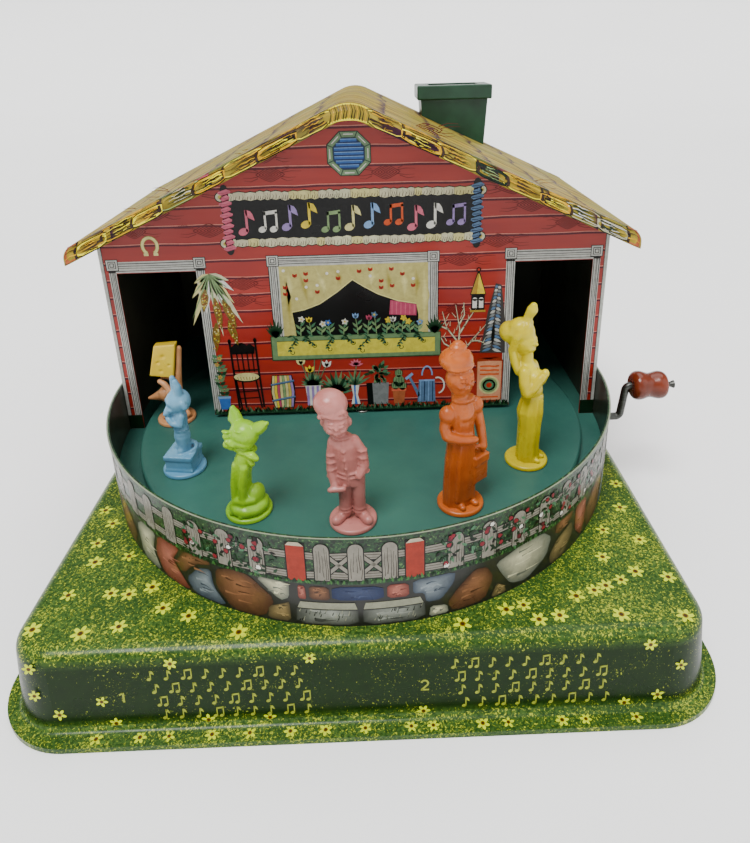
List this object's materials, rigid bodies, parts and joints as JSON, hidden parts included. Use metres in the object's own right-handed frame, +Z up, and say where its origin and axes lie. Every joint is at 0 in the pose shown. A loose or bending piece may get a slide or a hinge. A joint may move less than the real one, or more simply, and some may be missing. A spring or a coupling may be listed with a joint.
{
  "type": "hand-cranked tin music toy",
  "caption": "Printed tin farmhouse on a grassy tray; a side crank turns a stage of moulded figures in through one doorway and out of the other, and plays a studded-drum tune",
  "frame": {"origin": "On the turntable's axis, in the plane of the table that the tray's rim stands on", "axes": "+Z is up, the barn's printed front faces -Y, and the crank stands out on the +X side"},
  "size_m": [0.2772, 0.254, 0.1936],
  "materials": {
    "tray_tin": "glossy lithographed tinplate, grass green",
    "fence_tin": "glossy lithographed tinplate, printed with a picket fence over a stone wall",
    "stage_tin": "satin dark green lacquer",
    "barn_tin": "glossy lithographed tinplate, printed with red boards",
    "roof_tin": "glossy lithographed tinplate, printed with thatch",
    "green_plastic": "moulded, dark green",
    "brown_plastic": "turned and glossy, red-brown",
    "ivory_plastic": "moulded, ivory",
    "steel": "plated steel",
    "cast_metal": "die-cast grey",
    "brass": "turned brass",
    "rubber": "black rubber tyre",
    "yellow_plastic": "soft moulded plastic, yellow",
    "orange_plastic": "soft moulded plastic, orange",
    "pink_plastic": "soft moulded plastic, pink",
    "lime_plastic": "soft moulded plastic, lime green",
    "blue_plastic": "soft moulded plastic, sky blue",
    "tan_plastic": "soft moulded plastic, tan",
    "cheese_plastic": "soft moulded plastic, pale yellow"
  },
  "bodies": {
    "house": {"base_tray": "tray_tin", "fence_wall": "fence_tin", "stage_deck": "stage_tin", "barn_front": "barn_tin", "barn_back": "barn_tin", "barn_side_left": "barn_tin", "barn_side_right": "barn_tin", "roof": "roof_tin", "chimney": "green_plastic", "crank_eyelet": "steel", "fence_rivet": "steel", "movement_frame": "steel", "frame_screws": "steel", "comb_bridge": "cast_metal", "tone_comb": "steel", "comb_screws": "steel", "pivot_rivet": "steel", "pivot_washer": "brass"},
    "turntable": {"turntable_disc": "stage_tin", "turntable_hub": "brass", "figure_push_nuts": "steel", "figure_yellow_woman": "yellow_plastic", "figure_orange_woman": "orange_plastic", "figure_pink_child": "pink_plastic", "figure_green_cat": "lime_plastic", "figure_blue_mouse": "blue_plastic", "figure_tan_mouse": "tan_plastic", "cheese_wedge": "cheese_plastic"},
    "crank": {"crank_rod": "steel", "shaft_clips": "steel", "wheel_hub": "brass", "wheel_tyre": "rubber", "drive_pinion": "brass"},
    "drum": {"tune_drum": "ivory_plastic", "drum_gear": "ivory_plastic", "drum_shaft": "steel", "drum_clips": "steel"},
    "knob": {"crank_knob": "brown_plastic"}
  },
  "joints": [
    {"name": "turntable_spin", "type": "hinge", "parent": "house", "child": "turntable", "pos_m": [0, 0, 0.048], "axis": [0, 0, 1], "continuous": true},
    {"name": "crank_spin", "type": "hinge", "parent": "house", "child": "crank", "pos_m": [0, 0, 0.0415], "axis": [1, 0, 0], "continuous": true},
    {"name": "drum_spin", "type": "hinge", "parent": "house", "child": "drum", "pos_m": [0, 0, 0.0247], "axis": [1, 0, 0], "continuous": true},
    {"name": "knob_spin", "type": "hinge", "parent": "crank", "child": "knob", "pos_m": [0.138, 0, 0.0582], "axis": [1, 0, 0], "continuous": true}
  ],
  "couplings": [
    {"joint": "crank_spin", "follows": "turntable_spin", "ratio": -7.5},
    {"joint": "drum_spin", "follows": "turntable_spin", "ratio": 3}
  ]
}
